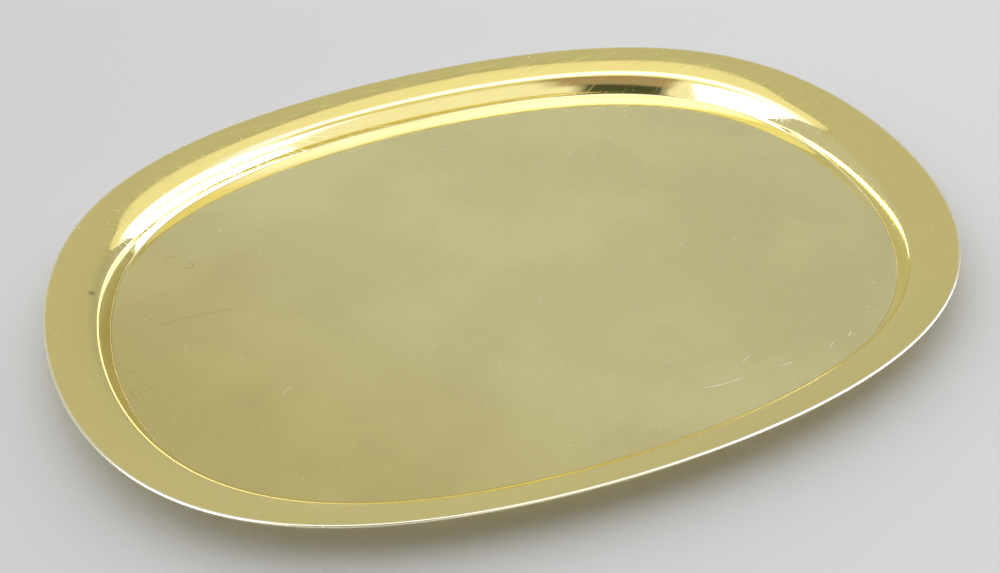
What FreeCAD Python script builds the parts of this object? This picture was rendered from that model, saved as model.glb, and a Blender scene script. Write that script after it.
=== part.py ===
import FreeCAD, Part
import math
import os

# A shallow oval serving tray, pressed from one sheet of brass. It stands on the
# underside of its flat floor. A tight bend takes the floor up into a low, steep wall,
# which turns over at a shoulder and goes out into a broad rim that rises gently to its
# edge.
# Millimetres, +Z up, X along the tray, origin at the middle of the underside.

# Driving dimensions
LENGTH = 410.0  # over the rim's edge, along X
WIDTH = 308.0  # over the rim's edge, along Y
RIM_RISE = 16.5  # height of the rim's edge above the floor, on the upper face
SHEET = 1.3  # thickness of the brass
SQUARENESS = 0.030  # how far the oval leans towards a rectangle: 0 is an ellipse
SIDE_BAND = 20.8  # from the rim's edge in to the flat floor, at the long sides
END_BAND = 25.6  # the same at the two ends
FOOT_RADIUS = 1.0  # upper face of the tight bend between floor and wall
SHOULDER_RADIUS = 7.5  # upper face of the bend between wall and rim
EDGE_BULGE = 0.4  # how far the rounded edge stands out from the sheet's two faces

# Slopes from level, measured in the section across a long side
WALL_FOOT_SLOPE = math.radians(75.0)
WALL_TOP_SLOPE = math.radians(63.5)
RIM_INNER_SLOPE = math.radians(25.0)
RIM_OUTER_SLOPE = math.radians(17.5)

# How finely the curves are followed
CURVE_STEPS = 5  # levels along each of the section's arcs
EDGE_STEPS = 6  # levels round the edge
QUARTER_SPANS = 12  # spans in each quarter of an oval

END_STRETCH = END_BAND / SIDE_BAND


def edge_reach(slope):
    """How far the rounded edge stands out, level, past the edge of the upper face."""
    half = SHEET / 2 * math.sin(slope)
    return half + math.hypot(half, EDGE_BULGE * math.cos(slope))


def upper_edge_half_sizes():
    """Half the length and half the width of the oval at the edge of the upper face."""
    end_slope = math.atan(math.tan(RIM_OUTER_SLOPE) / END_STRETCH)
    return LENGTH / 2 - edge_reach(end_slope), WIDTH / 2 - edge_reach(RIM_OUTER_SLOPE)


def arc_span(start_slope, end_slope):
    """How far out and how far up an arc of unit radius goes between two slopes."""
    out = abs(math.sin(end_slope) - math.sin(start_slope))
    return out, abs(math.cos(end_slope) - math.cos(start_slope))


def wall_and_rim_radii():
    """The radii of the wall and the rim that make the section span band and rise."""
    foot_out, foot_up = arc_span(0, WALL_FOOT_SLOPE)
    shoulder_out, shoulder_up = arc_span(WALL_TOP_SLOPE, RIM_INNER_SLOPE)
    out = SIDE_BAND - FOOT_RADIUS * foot_out - SHOULDER_RADIUS * shoulder_out
    up = RIM_RISE - FOOT_RADIUS * foot_up - SHOULDER_RADIUS * shoulder_up
    wall_out, wall_up = arc_span(WALL_FOOT_SLOPE, WALL_TOP_SLOPE)
    rim_out, rim_up = arc_span(RIM_INNER_SLOPE, RIM_OUTER_SLOPE)
    share = wall_out * rim_up - wall_up * rim_out
    return (out * rim_up - up * rim_out) / share, (up * wall_out - out * wall_up) / share


def arc_levels(start, radius, end_slope):
    """Levels along an arc of the section, from a level to the slope where it ends."""
    out, up, slope = start
    turn = radius if end_slope > slope else -radius
    levels = []
    for step in range(CURVE_STEPS + 1):
        angle = slope + (end_slope - slope) * step / CURVE_STEPS
        level_out = out + turn * (math.sin(angle) - math.sin(slope))
        level_up = up + turn * (math.cos(slope) - math.cos(angle))
        levels.append((level_out, level_up, angle))
    return levels


def section():
    """Stretches of the upper face from the flat floor out to the edge.

    Each is a list of levels, and a level is (distance out from the flat floor, height,
    slope) in the section across a long side.
    """
    wall_radius, rim_radius = wall_and_rim_radii()
    foot = arc_levels((0, SHEET, 0), FOOT_RADIUS, WALL_FOOT_SLOPE)
    wall = arc_levels(foot[-1], wall_radius, WALL_TOP_SLOPE)
    shoulder = arc_levels(wall[-1], SHOULDER_RADIUS, RIM_INNER_SLOPE)
    rim = arc_levels(shoulder[-1], rim_radius, RIM_OUTER_SLOPE)
    return [foot, wall, shoulder, rim]


def sheet_point(turn, level, depth, beyond):
    """A point at an angle round the tray, some depth under a level of the upper face.

    The depth is square to the face, so the sheet keeps one thickness all round, and
    beyond is a distance outwards along the face.
    """
    out, up, slope = level
    half_x, half_y = upper_edge_half_sizes()
    half_x -= (SIDE_BAND - out) * END_STRETCH
    half_y -= SIDE_BAND - out
    oval_x = (math.cos(turn) - SQUARENESS * math.cos(3 * turn)) / (1 - SQUARENESS)
    oval_y = (math.sin(turn) + SQUARENESS * math.sin(3 * turn)) / (1 - SQUARENESS)
    along_x = (3 * SQUARENESS * math.sin(3 * turn) - math.sin(turn)) / (1 - SQUARENESS)
    along_y = (3 * SQUARENESS * math.cos(3 * turn) + math.cos(turn)) / (1 - SQUARENESS)
    along = FreeCAD.Vector(half_x * along_x, half_y * along_y, 0)
    outward = FreeCAD.Vector(END_STRETCH * oval_x, oval_y, math.tan(slope))
    normal = outward.cross(along).normalize()
    across = along.cross(normal).normalize()
    return FreeCAD.Vector(half_x * oval_x, half_y * oval_y, up) - normal * depth + across * beyond


def oval_wire(level, depth, beyond=0.0):
    """The closed oval at a level, as four curves that meet smoothly on the axes."""
    nudge = 1e-4
    edges = []
    for quarter in range(4):
        turns = [math.pi / 2 * (quarter + span / QUARTER_SPANS) for span in range(QUARTER_SPANS + 1)]
        points = [sheet_point(turn, level, depth, beyond) for turn in turns]
        tangents = []
        for turn in (turns[0], turns[-1]):
            ahead = sheet_point(turn + nudge, level, depth, beyond)
            behind = sheet_point(turn - nudge, level, depth, beyond)
            tangents.append((ahead - behind) / (2 * nudge))
        curve = Part.BSplineCurve()
        curve.interpolate(Points=points, InitialTangent=tangents[0], FinalTangent=tangents[1])
        edges.append(curve.toShape())
    return Part.Wire(edges)


def skin_faces(depth):
    """The floor and the rising band of one face of the sheet."""
    faces = []
    stretches = section()
    for stretch in stretches:
        wires = [oval_wire(level, depth) for level in stretch]
        faces += Part.makeLoft(wires, False, False).Faces
    floor_outline = oval_wire(stretches[0][0], depth)
    faces.append(Part.Face(floor_outline))
    return faces


def edge_faces():
    """The rounded edge that joins the upper face to the underside."""
    edge_level = section()[-1][-1]
    wires = []
    for step in range(EDGE_STEPS + 1):
        angle = math.pi * step / EDGE_STEPS
        depth = SHEET / 2 * (1 - math.cos(angle))
        wires.append(oval_wire(edge_level, depth, EDGE_BULGE * math.sin(angle)))
    return Part.makeLoft(wires, False, False).Faces


def tray():
    """The whole tray: upper face, underside and edge, closed into one solid."""
    shell = Part.makeShell(skin_faces(0) + skin_faces(SHEET) + edge_faces())
    shell.sewShape()
    return Part.makeSolid(shell)


os.makedirs("parts", exist_ok=True)
tray().exportStep("parts/tray.step")
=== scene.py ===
import math

import bpy
from mathutils import Matrix, Vector


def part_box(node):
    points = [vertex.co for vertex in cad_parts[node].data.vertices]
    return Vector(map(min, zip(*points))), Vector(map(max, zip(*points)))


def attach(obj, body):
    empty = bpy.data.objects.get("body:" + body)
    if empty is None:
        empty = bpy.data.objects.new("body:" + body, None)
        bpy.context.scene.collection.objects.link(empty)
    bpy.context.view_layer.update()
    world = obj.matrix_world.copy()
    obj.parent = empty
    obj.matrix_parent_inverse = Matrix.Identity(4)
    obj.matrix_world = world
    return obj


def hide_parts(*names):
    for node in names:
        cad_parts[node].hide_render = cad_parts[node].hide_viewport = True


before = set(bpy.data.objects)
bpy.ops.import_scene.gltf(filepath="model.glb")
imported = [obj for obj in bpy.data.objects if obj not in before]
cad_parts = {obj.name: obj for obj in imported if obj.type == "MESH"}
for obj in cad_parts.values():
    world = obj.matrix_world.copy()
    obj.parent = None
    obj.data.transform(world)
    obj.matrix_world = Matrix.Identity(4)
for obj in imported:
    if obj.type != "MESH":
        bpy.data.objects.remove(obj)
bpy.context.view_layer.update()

# A brass tray pressed from one sheet, on a pale table under soft studio light.
# Metres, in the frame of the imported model: X along the tray, Z up, and the origin at
# the middle of the underside.

# The tray's section, the same dimensions as the CAD part
RIM_RISE = 0.0165
SHEET = 0.0013
SQUARENESS = 0.030
SIDE_BAND = 0.0208
END_BAND = 0.0256
FOOT_RADIUS = 0.0010
SHOULDER_RADIUS = 0.0075
EDGE_BULGE = 0.0004
WALL_FOOT_SLOPE = math.radians(75.0)
WALL_TOP_SLOPE = math.radians(63.5)
RIM_INNER_SLOPE = math.radians(25.0)
RIM_OUTER_SLOPE = math.radians(17.5)
END_STRETCH = END_BAND / SIDE_BAND

# How finely the mesh follows it
FLOOR_CELLS = 56  # quads from the middle of the floor to its edge
FLOOR_MARGIN = 0.0025  # the last ring of the floor, as a share of its half-width
TURNS = 8 * FLOOR_CELLS
FOOT_STEPS = 12
WALL_STEPS = 12
SHOULDER_STEPS = 10
RIM_STEPS = 22
EDGE_STEPS = 10

# The camera
CAMERA_AZIMUTH = math.radians(-20.56)
CAMERA_ELEVATION = math.radians(39.36)
CAMERA_DISTANCE = 0.6238
CAMERA_TARGET = Vector((-0.0093, -0.0127, SHEET))
CAMERA_ROLL = math.radians(-1.75)
CAMERA_LENS = 49.74


# ---------------------------------------------------------------- shape


def edge_reach(slope):
    """How far the rounded edge stands out, level, past the edge of the upper face."""
    half = SHEET / 2 * math.sin(slope)
    return half + math.hypot(half, EDGE_BULGE * math.cos(slope))


def upper_edge_half_sizes():
    """Half the length and half the width of the oval at the edge of the upper face."""
    low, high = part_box("tray")
    end_slope = math.atan(math.tan(RIM_OUTER_SLOPE) / END_STRETCH)
    half_x = (high[0] - low[0]) / 2 - edge_reach(end_slope)
    half_y = (high[1] - low[1]) / 2 - edge_reach(RIM_OUTER_SLOPE)
    return half_x, half_y


def arc_span(start_slope, end_slope):
    """How far out and how far up an arc of unit radius goes between two slopes."""
    out = abs(math.sin(end_slope) - math.sin(start_slope))
    return out, abs(math.cos(end_slope) - math.cos(start_slope))


def wall_and_rim_radii():
    """The radii of the wall and the rim that make the section span band and rise."""
    foot_out, foot_up = arc_span(0, WALL_FOOT_SLOPE)
    shoulder_out, shoulder_up = arc_span(WALL_TOP_SLOPE, RIM_INNER_SLOPE)
    out = SIDE_BAND - FOOT_RADIUS * foot_out - SHOULDER_RADIUS * shoulder_out
    up = RIM_RISE - FOOT_RADIUS * foot_up - SHOULDER_RADIUS * shoulder_up
    wall_out, wall_up = arc_span(WALL_FOOT_SLOPE, WALL_TOP_SLOPE)
    rim_out, rim_up = arc_span(RIM_INNER_SLOPE, RIM_OUTER_SLOPE)
    share = wall_out * rim_up - wall_up * rim_out
    return (out * rim_up - up * rim_out) / share, (up * wall_out - out * wall_up) / share


def arc_levels(start, radius, end_slope, steps):
    """Levels along an arc of the section, after a level and up to a slope."""
    out, up, slope = start
    turn = radius if end_slope > slope else -radius
    levels = []
    for step in range(1, steps + 1):
        angle = slope + (end_slope - slope) * step / steps
        level_out = out + turn * (math.sin(angle) - math.sin(slope))
        level_up = up + turn * (math.cos(slope) - math.cos(angle))
        levels.append((level_out, level_up, angle))
    return levels


def section_levels():
    """Levels of the upper face from just outside the flat floor to the edge."""
    wall_radius, rim_radius = wall_and_rim_radii()
    levels = arc_levels((0, SHEET, 0), FOOT_RADIUS, WALL_FOOT_SLOPE, FOOT_STEPS)
    levels += arc_levels(levels[-1], wall_radius, WALL_TOP_SLOPE, WALL_STEPS)
    levels += arc_levels(levels[-1], SHOULDER_RADIUS, RIM_INNER_SLOPE, SHOULDER_STEPS)
    levels += arc_levels(levels[-1], rim_radius, RIM_OUTER_SLOPE, RIM_STEPS)
    return levels


def oval(turn):
    """A point of the unit oval, and the direction along it."""
    share = 1 - SQUARENESS
    point = (
        (math.cos(turn) - SQUARENESS * math.cos(3 * turn)) / share,
        (math.sin(turn) + SQUARENESS * math.sin(3 * turn)) / share,
    )
    along = (
        (3 * SQUARENESS * math.sin(3 * turn) - math.sin(turn)) / share,
        (3 * SQUARENESS * math.cos(3 * turn) + math.cos(turn)) / share,
    )
    return point, along


def sheet_point(turn, level, depth, beyond=0.0):
    """A point at an angle round the tray, some depth under a level of the upper face."""
    out, up, slope = level
    half_x, half_y = HALF_SIZES
    half_x -= (SIDE_BAND - out) * END_STRETCH
    half_y -= SIDE_BAND - out
    point, along = oval(turn)
    tangent = Vector((half_x * along[0], half_y * along[1], 0))
    outward = Vector((END_STRETCH * point[0], point[1], math.tan(slope)))
    normal = outward.cross(tangent).normalized()
    across = tangent.cross(normal).normalized()
    place = Vector((half_x * point[0], half_y * point[1], up))
    return place - normal * depth + across * beyond


def ring(level, depth, beyond=0.0):
    """One ring of points round the tray."""
    return [sheet_point(math.tau * k / TURNS, level, depth, beyond) for k in range(TURNS)]


def floor_grid(height):
    """Points of a flat oval floor as a square grid bent to the oval, keyed by cell corner."""
    half_x = HALF_SIZES[0] - END_BAND
    half_y = HALF_SIZES[1] - SIDE_BAND
    points = {}
    for i in range(-FLOOR_CELLS, FLOOR_CELLS + 1):
        for j in range(-FLOOR_CELLS, FLOOR_CELLS + 1):
            reach = max(abs(i), abs(j))
            point, _ = oval(grid_turn(i, j))
            share = reach / FLOOR_CELLS
            if reach == FLOOR_CELLS - 1:
                share = 1 - FLOOR_MARGIN
            points[i, j] = Vector((half_x * share * point[0], half_y * share * point[1], height))
    return points


def grid_turn(i, j):
    """The angle round the oval of a corner of the square grid."""
    if i == 0 and j == 0:
        return 0.0
    eighth = math.pi / 4
    if abs(i) >= abs(j):
        return eighth * j / i + (math.pi if i < 0 else 0.0)
    return math.pi / 2 - eighth * i / j + (math.pi if j < 0 else 0.0)


def grid_rim_turn(i, j):
    """Which point of a ring a corner on the edge of the square grid meets."""
    return round(grid_turn(i, j) / math.tau * TURNS) % TURNS


class SheetMesh:
    """Collects the points and quads of the tray."""

    def __init__(self):
        self.points = []
        self.faces = []

    def add_ring(self, ring_points):
        """Adds a closed ring and returns the numbers of its points."""
        first = len(self.points)
        self.points += ring_points
        return list(range(first, first + len(ring_points)))

    def join(self, inner, outer):
        """Fills the band between two rings."""
        for k in range(TURNS):
            after = (k + 1) % TURNS
            self.faces.append((inner[k], outer[k], outer[after], inner[after]))

    def add_floor(self, height, upward):
        """Adds a floor and returns the ring of its edge."""
        grid = floor_grid(height)
        number = {}
        for corner, place in grid.items():
            number[corner] = len(self.points)
            self.points.append(place)
        for i in range(-FLOOR_CELLS, FLOOR_CELLS):
            for j in range(-FLOOR_CELLS, FLOOR_CELLS):
                quad = [number[i, j], number[i + 1, j], number[i + 1, j + 1], number[i, j + 1]]
                self.faces.append(tuple(quad if upward else reversed(quad)))
        edge = [0] * TURNS
        for (i, j), index in number.items():
            if max(abs(i), abs(j)) == FLOOR_CELLS:
                edge[grid_rim_turn(i, j)] = index
        return edge


def tray_mesh():
    """The whole sheet: upper face, rounded edge and underside, one closed surface."""
    sheet = SheetMesh()
    levels = section_levels()
    rings = [sheet.add_floor(SHEET, True)]
    rings += [sheet.add_ring(ring(level, 0)) for level in levels]
    for step in range(1, EDGE_STEPS):
        angle = math.pi * step / EDGE_STEPS
        depth = SHEET / 2 * (1 - math.cos(angle))
        rings.append(sheet.add_ring(ring(levels[-1], depth, EDGE_BULGE * math.sin(angle))))
    rings += [sheet.add_ring(ring(level, SHEET)) for level in reversed(levels)]
    rings.append(sheet.add_floor(0, False))
    for inner, outer in zip(rings, rings[1:]):
        sheet.join(inner, outer)
    mesh = bpy.data.meshes.new("brass_tray")
    mesh.from_pydata(sheet.points, [], sheet.faces)
    mesh.polygons.foreach_set("use_smooth", [True] * len(mesh.polygons))
    # The rounded edge is marked for a paler brass: partly wear, partly a painted highlight along the
    # edge
    edge_rings = rings[len(levels):len(levels) + EDGE_STEPS]
    worn_and_sheen_points = set(number for edge_ring in edge_rings for number in edge_ring)
    edge_wear_and_sheen = mesh.attributes.new("edge_wear_and_sheen", "FLOAT", "POINT")
    edge_wear_and_sheen.data.foreach_set("value", [float(number in worn_and_sheen_points) for number in range(len(sheet.points))])
    mesh.update()
    return mesh


# ---------------------------------------------------------------- shader nodes


class Nodes:
    """Adds nodes to one shader tree; every value may be a number or another socket."""

    def __init__(self, tree):
        self.tree = tree
        tree.nodes.clear()

    def add(self, kind, **settings):
        node = self.tree.nodes.new(kind)
        for name, value in settings.items():
            setattr(node, name, value)
        return node

    def put(self, socket, value):
        if isinstance(value, bpy.types.NodeSocket):
            self.tree.links.new(value, socket)
        else:
            socket.default_value = value

    def math(self, operation, *values, clamp=False):
        node = self.add("ShaderNodeMath", operation=operation, use_clamp=clamp)
        for socket, value in zip(node.inputs, values):
            self.put(socket, value)
        return node.outputs[0]

    def sum(self, first, *others):
        for other in others:
            first = self.math("ADD", first, other)
        return first

    def ramp(self, value, start, end, low=0.0, high=1.0):
        """A smooth step of a value between two limits."""
        node = self.add("ShaderNodeMapRange", interpolation_type="SMOOTHSTEP")
        for socket, number in zip(node.inputs, (value, start, end, low, high)):
            self.put(socket, number)
        return node.outputs[0]

    def bell(self, value, centre, width):
        """A soft bump, 1 where the value is at the centre."""
        away = self.math("DIVIDE", self.math("SUBTRACT", value, centre), width)
        return self.math("EXPONENT", self.math("MULTIPLY", self.math("MULTIPLY", away, away), -1.0))

    def mix(self, share, first, second, blend="MIX"):
        node = self.add("ShaderNodeMix", data_type="RGBA", blend_type=blend, clamp_factor=False)
        self.put(node.inputs["Factor"], share)
        self.put(node.inputs[6], first)
        self.put(node.inputs[7], second)
        return node.outputs[2]

    def place(self, point, scale=(1, 1, 1), turn=0.0, shift=(0, 0, 0)):
        node = self.add("ShaderNodeMapping")
        self.put(node.inputs["Vector"], point)
        self.put(node.inputs["Location"], shift)
        self.put(node.inputs["Rotation"], (0, 0, turn))
        self.put(node.inputs["Scale"], scale)
        return node.outputs[0]

    def noise(self, point, scale, detail=3.0, roughness=0.5):
        node = self.add("ShaderNodeTexNoise")
        self.put(node.inputs["Vector"], point)
        self.put(node.inputs["Scale"], scale)
        self.put(node.inputs["Detail"], detail)
        self.put(node.inputs["Roughness"], roughness)
        return node.outputs[0]

    def dots(self, point, scale, size, keep):
        """Random soft dots: one to a cell, and only the kept share of the cells has one."""
        node = self.add("ShaderNodeTexVoronoi")
        self.put(node.inputs["Vector"], point)
        self.put(node.inputs["Scale"], scale)
        dot = self.ramp(node.outputs["Distance"], size, 0.0)
        chance = self.add("ShaderNodeSeparateColor")
        self.put(chance.inputs[0], node.outputs["Color"])
        kept = self.math("LESS_THAN", chance.outputs[0], keep)
        return self.math("MULTIPLY", dot, kept)

    def split(self, vector):
        node = self.add("ShaderNodeSeparateXYZ")
        self.put(node.inputs[0], vector)
        return node.outputs


# ---------------------------------------------------------------- brass


FLOOR_BRASS = (0.98, 0.91, 0.46, 1)
WARM_BRASS = (0.80, 0.69, 0.25, 1)
RIM_BRASS = (0.88, 0.76, 0.285, 1)
WALL_BRASS = (0.93, 0.83, 0.38, 1)
# Paler brass for the rounded edge: partly wear, partly a painted highlight
WORN_AND_SHEEN_BRASS = (1.0, 0.95, 0.66, 1)
TARNISH = (0.72, 0.56, 0.22, 1)
STAIN = (0.50, 0.36, 0.15, 1)
# Dirt for the dark spot, and painted shade for the band in the crease at the foot of the wall
DIRT_AND_CREASE_SHADE = (0.30, 0.22, 0.09, 1)
BRIGHT_METAL = (1.0, 0.97, 0.72, 1)

# Where the metal changes, and where the painted shade in the crease lies, as heights above the table
FLOOR_START = SHEET + 0.0001
FLOOR_END = SHEET + 0.0006
WALL_START = SHEET + 0.0075
WALL_END = SHEET + 0.0100
# Painted shade: the dark band in the bend at the foot of the wall
CREASE_SHADE_HEIGHT = SHEET + 0.0003
CREASE_SHADE_WIDTH = 0.00028

# Marks of use on the tray: x, y and radius; strokes are start, end, width and bow
DARK_SPOT = (-0.1813, 0.0421, 0.0023)
CLOUDS = (
    (-0.122, 0.047, 0.024),
    (-0.131, -0.040, 0.020),
    (-0.107, -0.028, 0.022),
)
RING_STAINS = (
    (-0.1757, -0.0038, 0.0012),
    (-0.1754, -0.0139, 0.0015),
    (-0.1745, -0.0182, 0.0019),
    (-0.1431, 0.0662, 0.0028),
    (-0.1363, 0.0584, 0.0020),
)
DULL_STROKES = (
    ((-0.1587, 0.0212), (-0.1215, 0.0192), 0.00055, 0.0016),
    ((-0.1700, -0.0144), (-0.1660, -0.0234), 0.00030, 0.0008),
    ((-0.1720, -0.0124), (-0.1675, -0.0184), 0.00030, 0.0006),
)
BRIGHT_STROKES = (
    ((-0.1188, -0.0426), (-0.1132, -0.0391), 0.00022, 0.0002),
    ((0.0662, -0.0997), (0.0710, -0.0970), 0.00022, 0.0003),
    ((0.0421, -0.1067), (0.0627, -0.1076), 0.00025, -0.0012),
    ((0.0791, -0.1080), (0.0854, -0.1079), 0.00022, 0.0002),
    ((0.1040, -0.1062), (0.1085, -0.1035), 0.00020, 0.0),
    ((0.1150, -0.1035), (0.1185, -0.1005), 0.00020, 0.0),
)

RING_WIDTH = 0.0003

# Hairline scratches: direction, cell, how many times longer than wide, share of cells
HAIRLINE_SETS = (
    (0.35, 0.030, 90.0, 0.22),
    (-0.5, 0.045, 150.0, 0.20),
    (1.2, 0.022, 70.0, 0.18),
    (2.2, 0.012, 30.0, 0.10),
)
HAIRLINE_WIDTH = 0.42  # as a share of a cell

# Bright specks: direction, how many to the metre, size and share of cells
SPECK_SETS = (
    (0.0, 240.0, 0.15, 0.16),
    (0.8, 560.0, 0.22, 0.10),
)

# How strongly each kind of mark changes the colour
BROAD_TARNISH = 0.09
FINE_TARNISH = 0.05
CLOUD_TARNISH = 0.13
RING_DARKNESS = 0.60
STROKE_DARKNESS = 0.38
SPOT_DARKNESS = 0.7
# How dark the painted shade in the crease is
CREASE_SHADE_DARKNESS = 0.45
SPECK_BRIGHTNESS = 0.6

# Roughness of the clean metal, and what each kind of mark adds to it
CLEAN_ROUGHNESS = 0.045
TARNISH_ROUGHNESS = 0.025
HAIR_ROUGHNESS = 0.20
BRIGHT_ROUGHNESS = 0.5
WEAR_ROUGHNESS = 0.12

# Relief: strength and height of the scratches, and of the slow waves of the pressing
SCRATCH_STRENGTH = 0.20
SCRATCH_HEIGHT = 0.00006
WAVE_STRENGTH = 1.0
WAVE_HEIGHT = 0.00025


def away_from(nodes, x, y, spot):
    """Distance from the middle of a mark."""
    across = nodes.math("SUBTRACT", x, spot[0])
    along = nodes.math("SUBTRACT", y, spot[1])
    square = nodes.sum(nodes.math("MULTIPLY", across, across), nodes.math("MULTIPLY", along, along))
    return nodes.math("SQRT", square)


def blot(nodes, x, y, spot):
    """A soft round patch."""
    return nodes.ramp(away_from(nodes, x, y, spot), spot[2], 0.0)


def ring_stain(nodes, x, y, spot):
    """A thin dried ring."""
    return nodes.bell(away_from(nodes, x, y, spot), spot[2], RING_WIDTH)


def stroke(nodes, x, y, line):
    """A thin mark between two points, bowed to one side."""
    start, end, width, bow = line
    length = math.dist(start, end)
    run = ((end[0] - start[0]) / length, (end[1] - start[1]) / length)
    across = nodes.math("SUBTRACT", x, start[0])
    along = nodes.math("SUBTRACT", y, start[1])
    forward = nodes.sum(nodes.math("MULTIPLY", across, run[0]), nodes.math("MULTIPLY", along, run[1]))
    aside = nodes.sum(nodes.math("MULTIPLY", across, -run[1]), nodes.math("MULTIPLY", along, run[0]))
    share = nodes.math("DIVIDE", forward, length)
    left = nodes.math("SUBTRACT", 1.0, share)
    arch = nodes.math("MULTIPLY", nodes.math("MULTIPLY", share, left), 4 * bow)
    line_share = nodes.ramp(nodes.math("ABSOLUTE", nodes.math("SUBTRACT", aside, arch)), width, 0.0)
    ends = nodes.math("MULTIPLY", nodes.ramp(share, 0.0, 0.15), nodes.ramp(left, 0.0, 0.15))
    return nodes.math("MULTIPLY", line_share, ends)


def strongest(nodes, shape, x, y, spots):
    """The strongest of several marks of one kind."""
    total = shape(nodes, x, y, spots[0])
    for spot in spots[1:]:
        total = nodes.math("MAXIMUM", total, shape(nodes, x, y, spot))
    return total


def painted_crease_shade(nodes, z, patchiness):
    """Painted shade: a dark band in the tight bend at the foot of the wall, patchy along its length.
    """
    band = nodes.bell(z, CREASE_SHADE_HEIGHT, CREASE_SHADE_WIDTH)
    return nodes.math("MULTIPLY", band, nodes.ramp(patchiness, 0.15, 0.60, 0.45, 1.0))


def hairlines(nodes, point, turn, cell, thinness, keep):
    """Fine scratches in one direction: long thin dots in some of the cells."""
    stretched = nodes.place(point, scale=(1 / cell, thinness / cell, 1 / cell), turn=turn)
    return nodes.dots(stretched, 1.0, HAIRLINE_WIDTH, keep)


def marks_and_painted_light(nodes, point):
    """How strong each kind of mark and of painted light is at a point of the tray, by name."""
    x, y, z = nodes.split(point)
    floor = nodes.ramp(z, FLOOR_END, FLOOR_START)
    broad = nodes.ramp(nodes.noise(point, 14.0, 4.0, 0.50), 0.25, 0.80)
    broken = nodes.ramp(nodes.noise(point, 420.0, 2.0), 0.42, 0.62)
    rings = nodes.math("MULTIPLY", strongest(nodes, ring_stain, x, y, RING_STAINS), floor)
    hair = hairlines(nodes, point, *HAIRLINE_SETS[0])
    for hair_set in HAIRLINE_SETS[1:]:
        hair = nodes.math("MAXIMUM", hair, hairlines(nodes, point, *hair_set))
    return {
        "floor": floor,
        "wall": nodes.ramp(z, WALL_END, WALL_START),
        "broad": broad,
        "fine": nodes.ramp(nodes.noise(point, 170.0, 4.0, 0.6), 0.40, 0.75),
        "cloud": nodes.math("MULTIPLY", strongest(nodes, blot, x, y, CLOUDS), nodes.sum(broad, 0.4)),
        "spot": blot(nodes, x, y, DARK_SPOT),
        "rings": nodes.math("MULTIPLY", rings, broken),
        "dull": nodes.math("MULTIPLY", strongest(nodes, stroke, x, y, DULL_STROKES), floor),
        "bright": nodes.math("MULTIPLY", strongest(nodes, stroke, x, y, BRIGHT_STROKES), floor),
        # Painted shade in the crease at the foot of the wall
        "crease_shade": painted_crease_shade(nodes, z, broad),
        # Painted highlight along the rounded edge, partly wear
        "edge_wear_and_sheen": nodes.add("ShaderNodeAttribute", attribute_name="edge_wear_and_sheen").outputs["Fac"],
        "hair": hair,
        "specks": bright_specks(nodes, point),
        "warmth": warm_side(nodes, x, y),
    }


def bright_specks(nodes, point):
    """Tiny bright pits all over the metal, in two sizes."""
    sizes = []
    for turn, scale, size, keep in SPECK_SETS:
        sizes.append(nodes.dots(nodes.place(point, turn=turn), scale, size, keep))
    return nodes.math("MAXIMUM", *sizes)


def warm_side(nodes, x, y):
    """How far the floor turns darker and warmer in colour, more towards its near left end."""
    to_the_left = nodes.sum(nodes.math("MULTIPLY", x, -1.0), nodes.math("MULTIPLY", y, -0.6))
    return nodes.ramp(to_the_left, 0.0, 0.20, 0.0, 0.85)


def brass_color(nodes, marks):
    """The metal's own colours, then tarnish, stains, dirt, painted shade in the crease and a painted
    highlight along the partly worn edge over them.
    """
    tarnish = nodes.sum(
        nodes.math("MULTIPLY", marks["broad"], BROAD_TARNISH),
        nodes.math("MULTIPLY", marks["fine"], FINE_TARNISH),
        nodes.math("MULTIPLY", marks["cloud"], CLOUD_TARNISH),
    )
    stain = nodes.sum(
        nodes.math("MULTIPLY", marks["rings"], RING_DARKNESS),
        nodes.math("MULTIPLY", marks["dull"], STROKE_DARKNESS),
    )
    spot = nodes.math("MULTIPLY", marks["spot"], SPOT_DARKNESS)
    crease_shade = nodes.math("MULTIPLY", marks["crease_shade"], CREASE_SHADE_DARKNESS)
    specks = nodes.math("MULTIPLY", marks["specks"], SPECK_BRIGHTNESS)
    band = nodes.mix(marks["wall"], RIM_BRASS, WALL_BRASS)
    color = nodes.mix(marks["warmth"], FLOOR_BRASS, WARM_BRASS)
    color = nodes.mix(marks["floor"], band, color)
    color = nodes.mix(tarnish, color, TARNISH)
    color = nodes.mix(stain, color, STAIN)
    # The dark spot is dirt; the band in the crease is painted shade
    color = nodes.mix(nodes.math("MAXIMUM", spot, crease_shade), color, DIRT_AND_CREASE_SHADE)
    color = nodes.mix(nodes.math("MAXIMUM", specks, marks["bright"]), color, BRIGHT_METAL)
    # Painted highlight, partly wear: the rounded edge turns to a pale brass
    return nodes.mix(marks["edge_wear_and_sheen"], color, WORN_AND_SHEEN_BRASS)


def brass_roughness(nodes, marks):
    """Nearly a mirror, and less so where it is tarnished, scratched, pitted or worn."""
    return nodes.sum(
        CLEAN_ROUGHNESS,
        nodes.math("MULTIPLY", marks["broad"], TARNISH_ROUGHNESS),
        nodes.math("MULTIPLY", marks["fine"], TARNISH_ROUGHNESS),
        nodes.math("MULTIPLY", marks["hair"], HAIR_ROUGHNESS),
        nodes.math("MULTIPLY", marks["specks"], BRIGHT_ROUGHNESS),
        nodes.math("MULTIPLY", marks["bright"], BRIGHT_ROUGHNESS),
        nodes.math("MULTIPLY", marks["edge_wear_and_sheen"], WEAR_ROUGHNESS),
    )


def bump(nodes, strength, height, relief):
    """A bump node of one strength and height."""
    node = nodes.add("ShaderNodeBump")
    nodes.put(node.inputs["Strength"], strength)
    nodes.put(node.inputs["Distance"], height)
    nodes.put(node.inputs["Height"], relief)
    return node


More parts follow.
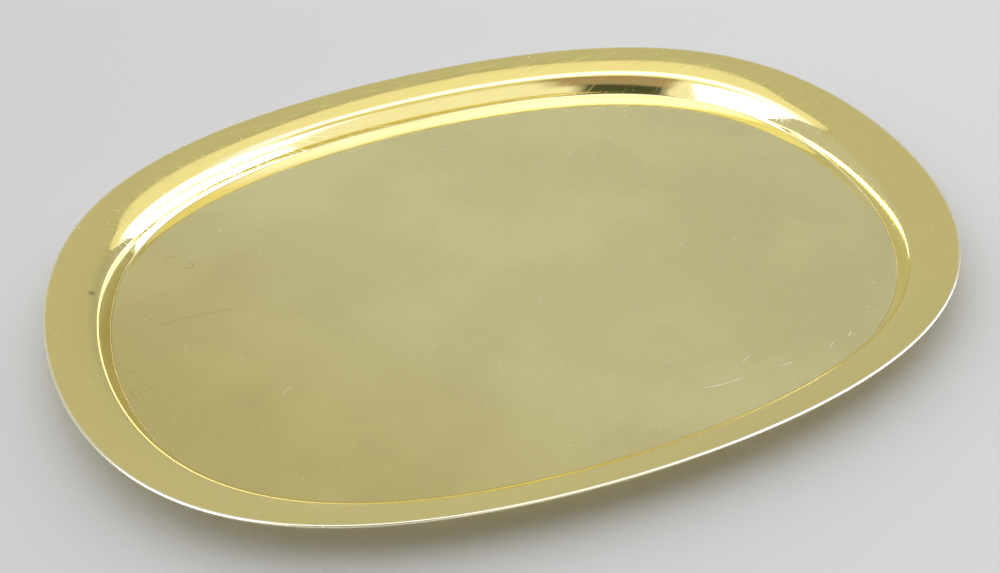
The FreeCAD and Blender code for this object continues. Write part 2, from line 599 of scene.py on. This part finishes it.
def brass_relief(nodes, point, marks):
    """Scratches, pits and a fine grain, over the slow waves left by the pressing."""
    relief = nodes.sum(
        nodes.math("MULTIPLY", marks["hair"], -0.5),
        nodes.math("MULTIPLY", marks["specks"], 0.6),
        nodes.math("MULTIPLY", nodes.noise(point, 900.0, 2.0), 0.10),
    )
    scratches = bump(nodes, SCRATCH_STRENGTH, SCRATCH_HEIGHT, relief)
    waves = bump(nodes, WAVE_STRENGTH, WAVE_HEIGHT, nodes.noise(point, 11.0, 1.0))
    nodes.put(waves.inputs["Normal"], scratches.outputs[0])
    return waves.outputs[0]


def brass_material():
    """Polished brass that has been used: clouded, stained, scratched and specked, with painted shade
    in its crease and a painted highlight along its rounded edge.
    """
    material = bpy.data.materials.new("polished_brass_used")
    material.use_nodes = True
    nodes = Nodes(material.node_tree)
    point = nodes.add("ShaderNodeTexCoord").outputs["Object"]
    marks = marks_and_painted_light(nodes, point)
    shader = nodes.add("ShaderNodeBsdfPrincipled")
    nodes.put(shader.inputs["Metallic"], 1.0)
    nodes.put(shader.inputs["Base Color"], brass_color(nodes, marks))
    nodes.put(shader.inputs["Roughness"], brass_roughness(nodes, marks))
    nodes.put(shader.inputs["Normal"], brass_relief(nodes, point, marks))
    output = nodes.add("ShaderNodeOutputMaterial")
    nodes.put(output.inputs["Surface"], shader.outputs[0])
    return material


# ---------------------------------------------------------------- stage


TABLE_RADIUS = 6.0
TABLE_SIDES = 96
TABLE_DROP = 0.0002  # how far its top lies under the tray, so that the two don't share a face
PAPER_SHADE = (0.66, 0.66, 0.66, 1)
PAPER_LIGHT = (0.78, 0.78, 0.78, 1)


def table_material():
    """Matt pale grey paper with a very faint tooth, painted lighter towards +X as if more light fell
    from that side.
    """
    material = bpy.data.materials.new("table_paper")
    material.use_nodes = True
    nodes = Nodes(material.node_tree)
    point = nodes.add("ShaderNodeTexCoord").outputs["Object"]
    tooth = nodes.noise(point, 700.0, 3.0, 0.7)
    cloud = nodes.noise(point, 2.2, 2.0)
    # Painted light: the paper grows lighter towards +X, standing in for light from that side
    painted_light_towards_x = nodes.ramp(nodes.split(point)[0], -0.30, 0.35)
    shade = nodes.sum(nodes.math("MULTIPLY", tooth, 0.25), nodes.math("MULTIPLY", cloud, 0.15))
    shade = nodes.sum(shade, nodes.math("MULTIPLY", painted_light_towards_x, 0.6))
    color = nodes.mix(shade, PAPER_SHADE, PAPER_LIGHT)
    shader = nodes.add("ShaderNodeBsdfPrincipled")
    nodes.put(shader.inputs["Base Color"], color)
    nodes.put(shader.inputs["Roughness"], 0.9)
    nodes.put(shader.inputs["Specular IOR Level"], 0.0)
    output = nodes.add("ShaderNodeOutputMaterial")
    nodes.put(output.inputs["Surface"], shader.outputs[0])
    return material


def make_table():
    """A round table top that reaches past every view's horizon."""
    points = [(0, 0, 0)]
    for k in range(TABLE_SIDES):
        angle = math.tau * k / TABLE_SIDES
        points.append((TABLE_RADIUS * math.cos(angle), TABLE_RADIUS * math.sin(angle), 0))
    faces = [(0, k, k % TABLE_SIDES + 1) for k in range(1, TABLE_SIDES + 1)]
    mesh = bpy.data.meshes.new("table")
    mesh.from_pydata(points, [], faces)
    mesh.materials.append(table_material())
    table = bpy.data.objects.new("table", mesh)
    table.location.z = -TABLE_DROP
    bpy.context.collection.objects.link(table)


# ---------------------------------------------------------------- light


BACKDROP_GREY = (0.585, 0.59, 0.60, 1)
BACKDROP_SHADE = (0.49, 0.49, 0.50, 1)
ROOM_CREAM = (1.02, 1.0, 0.95, 1)
DARK_EDGE = (0.24, 0.18, 0.10, 1)

# The backdrop's top edge, where it would cross a ceiling one metre up
BACKDROP_FAR = 0.72
BACKDROP_FLAP = 0.46
FLAP_MIDDLE = 0.245
FLAP_WIDTH = 0.20
EDGE_BLUR = 0.006
EDGE_LINE_MIDDLE = 0.008
EDGE_LINE_WIDTH = 0.014
EDGE_LINE_STRENGTH = 0.30

# Parts of the room: azimuth, elevation, half width, half height, blur, colour
ROOM_PANELS = (
    (116, 2, 33, 9.5, 0.12, (5.0, 5.2, 9.0)),
    (116, 33, 33, 16, 0.25, (3.0, 3.2, 6.0)),
    (132, 70, 14, 9, 0.50, (1.2, 1.25, 2.4)),
    (-97, 12, 24, 24, 0.30, (4.5, 4.7, 9.0)),
    (-145, 78, 50, 12, 0.60, (2.3, 2.4, 3.5)),
    (160, 46, 16, 14, 0.50, (0.84, 0.80, 0.62)),
    (-157, 34, 19, 19, 0.20, (0.42, 0.33, 0.26)),
    (-155, 6, 15, 11, 0.20, (0.075, 0.085, 0.06)),
)


def around(azimuth, elevation):
    """A direction: azimuth from +Y towards +X, elevation above the table, in degrees."""
    a = math.radians(azimuth)
    e = math.radians(elevation)
    return Vector((math.sin(a) * math.cos(e), math.cos(a) * math.cos(e), math.sin(e)))


def panel(nodes, direction, azimuth, elevation, half_width, half_height, blur):
    """A soft-edged rectangle of the surroundings, its sizes in degrees."""
    front = around(azimuth, elevation)
    side = around(azimuth + 90, 0)
    top = side.cross(front).normalized()
    if top.z < 0:
        top.negate()
    depth = dot(nodes, direction, front)
    safe = nodes.math("MAXIMUM", depth, 0.001)
    shares = []
    for axis, half in ((side, half_width), (top, half_height)):
        reach = math.tan(math.radians(half))
        slant = nodes.math("ABSOLUTE", nodes.math("DIVIDE", dot(nodes, direction, axis), safe))
        shares.append(nodes.ramp(slant, reach * (1 + blur), reach * (1 - blur)))
    facing = nodes.math("GREATER_THAN", depth, 0.001)
    return nodes.math("MULTIPLY", nodes.math("MULTIPLY", shares[0], shares[1]), facing)


def dot(nodes, direction, axis):
    node = nodes.add("ShaderNodeVectorMath", operation="DOT_PRODUCT")
    nodes.put(node.inputs[0], direction)
    nodes.put(node.inputs[1], tuple(axis))
    return node.outputs["Value"]


def backdrop_share(nodes, direction):
    """1 on the grey backdrop behind the tray, 0 in the bright room around it.

    Also gives the thin dark line of the backdrop's edge.
    """
    x, y, z = nodes.split(direction)
    height = nodes.math("MAXIMUM", z, 0.02)
    right = nodes.math("DIVIDE", x, height)
    back = nodes.math("DIVIDE", y, height)
    flap = nodes.math("MULTIPLY", nodes.bell(right, FLAP_MIDDLE, FLAP_WIDTH), BACKDROP_FLAP)
    past = nodes.math("SUBTRACT", back, nodes.math("SUBTRACT", BACKDROP_FAR, flap))
    share = nodes.ramp(past, -EDGE_BLUR, EDGE_BLUR)
    return share, nodes.bell(past, EDGE_LINE_MIDDLE, EDGE_LINE_WIDTH)


def furnish(nodes, direction, surroundings):
    """Puts the soft boxes, windows and dark things of the room into the surroundings."""
    for azimuth, elevation, half_width, half_height, blur, color in ROOM_PANELS:
        share = panel(nodes, direction, azimuth, elevation, half_width, half_height, blur)
        surroundings = nodes.mix(share, surroundings, color + (1,))
    return surroundings


def soft_light(nodes, direction):
    """The light that falls on matt things: strong from behind and above the tray."""
    _, y, z = nodes.split(direction)
    behind = nodes.sum(y, nodes.math("MULTIPLY", z, 0.6))
    strength = nodes.ramp(behind, -0.35, 0.45, 0.06, 1.25)
    return nodes.mix(strength, (0, 0, 0, 1), (1, 1, 1, 1))


def make_world():
    """A studio seen in the brass: grey backdrop, bright cream room, soft boxes."""
    world = bpy.data.worlds.new("studio")
    bpy.context.scene.world = world
    world.use_nodes = True
    world.cycles.sampling_method = "NONE"
    nodes = Nodes(world.node_tree)
    direction = nodes.add("ShaderNodeTexCoord").outputs["Generated"]

    room = furnish(nodes, direction, ROOM_CREAM)
    on_backdrop, edge_line = backdrop_share(nodes, direction)
    to_the_right = nodes.split(direction)[0]
    backdrop = nodes.mix(nodes.ramp(to_the_right, 0.25, 0.75), BACKDROP_GREY, BACKDROP_SHADE)
    mirrored = nodes.mix(on_backdrop, room, backdrop)
    mirrored = nodes.mix(nodes.math("MULTIPLY", edge_line, EDGE_LINE_STRENGTH), mirrored, DARK_EDGE)

    paths = nodes.add("ShaderNodeLightPath")
    color = nodes.mix(paths.outputs["Is Diffuse Ray"], mirrored, soft_light(nodes, direction))
    color = nodes.mix(paths.outputs["Is Camera Ray"], color, BACKDROP_GREY)
    background = nodes.add("ShaderNodeBackground")
    nodes.put(background.inputs["Color"], color)
    output = nodes.add("ShaderNodeOutputWorld")
    nodes.put(output.inputs["Surface"], background.outputs[0])


# ---------------------------------------------------------------- camera


def make_camera():
    data = bpy.data.cameras.new("camera")
    data.lens = CAMERA_LENS
    data.sensor_width = 36
    camera = bpy.data.objects.new("camera", data)
    level = CAMERA_DISTANCE * math.cos(CAMERA_ELEVATION)
    away = Vector((
        level * math.sin(CAMERA_AZIMUTH),
        -level * math.cos(CAMERA_AZIMUTH),
        CAMERA_DISTANCE * math.sin(CAMERA_ELEVATION),
    ))
    aim = (-away).to_track_quat("-Z", "Y").to_matrix().to_4x4()
    roll = Matrix.Rotation(CAMERA_ROLL, 4, "Z")
    camera.matrix_world = Matrix.Translation(CAMERA_TARGET + away) @ aim @ roll
    bpy.context.collection.objects.link(camera)
    bpy.context.scene.camera = camera


def make_tray():
    mesh = tray_mesh()
    mesh.materials.append(brass_material())
    tray = bpy.data.objects.new("brass_tray", mesh)
    bpy.context.collection.objects.link(tray)
    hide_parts("tray")
    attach(tray, "root")


HALF_SIZES = upper_edge_half_sizes()

make_camera()
make_table()
make_tray()
make_world()
bpy.context.scene.view_settings.view_transform = "Standard"
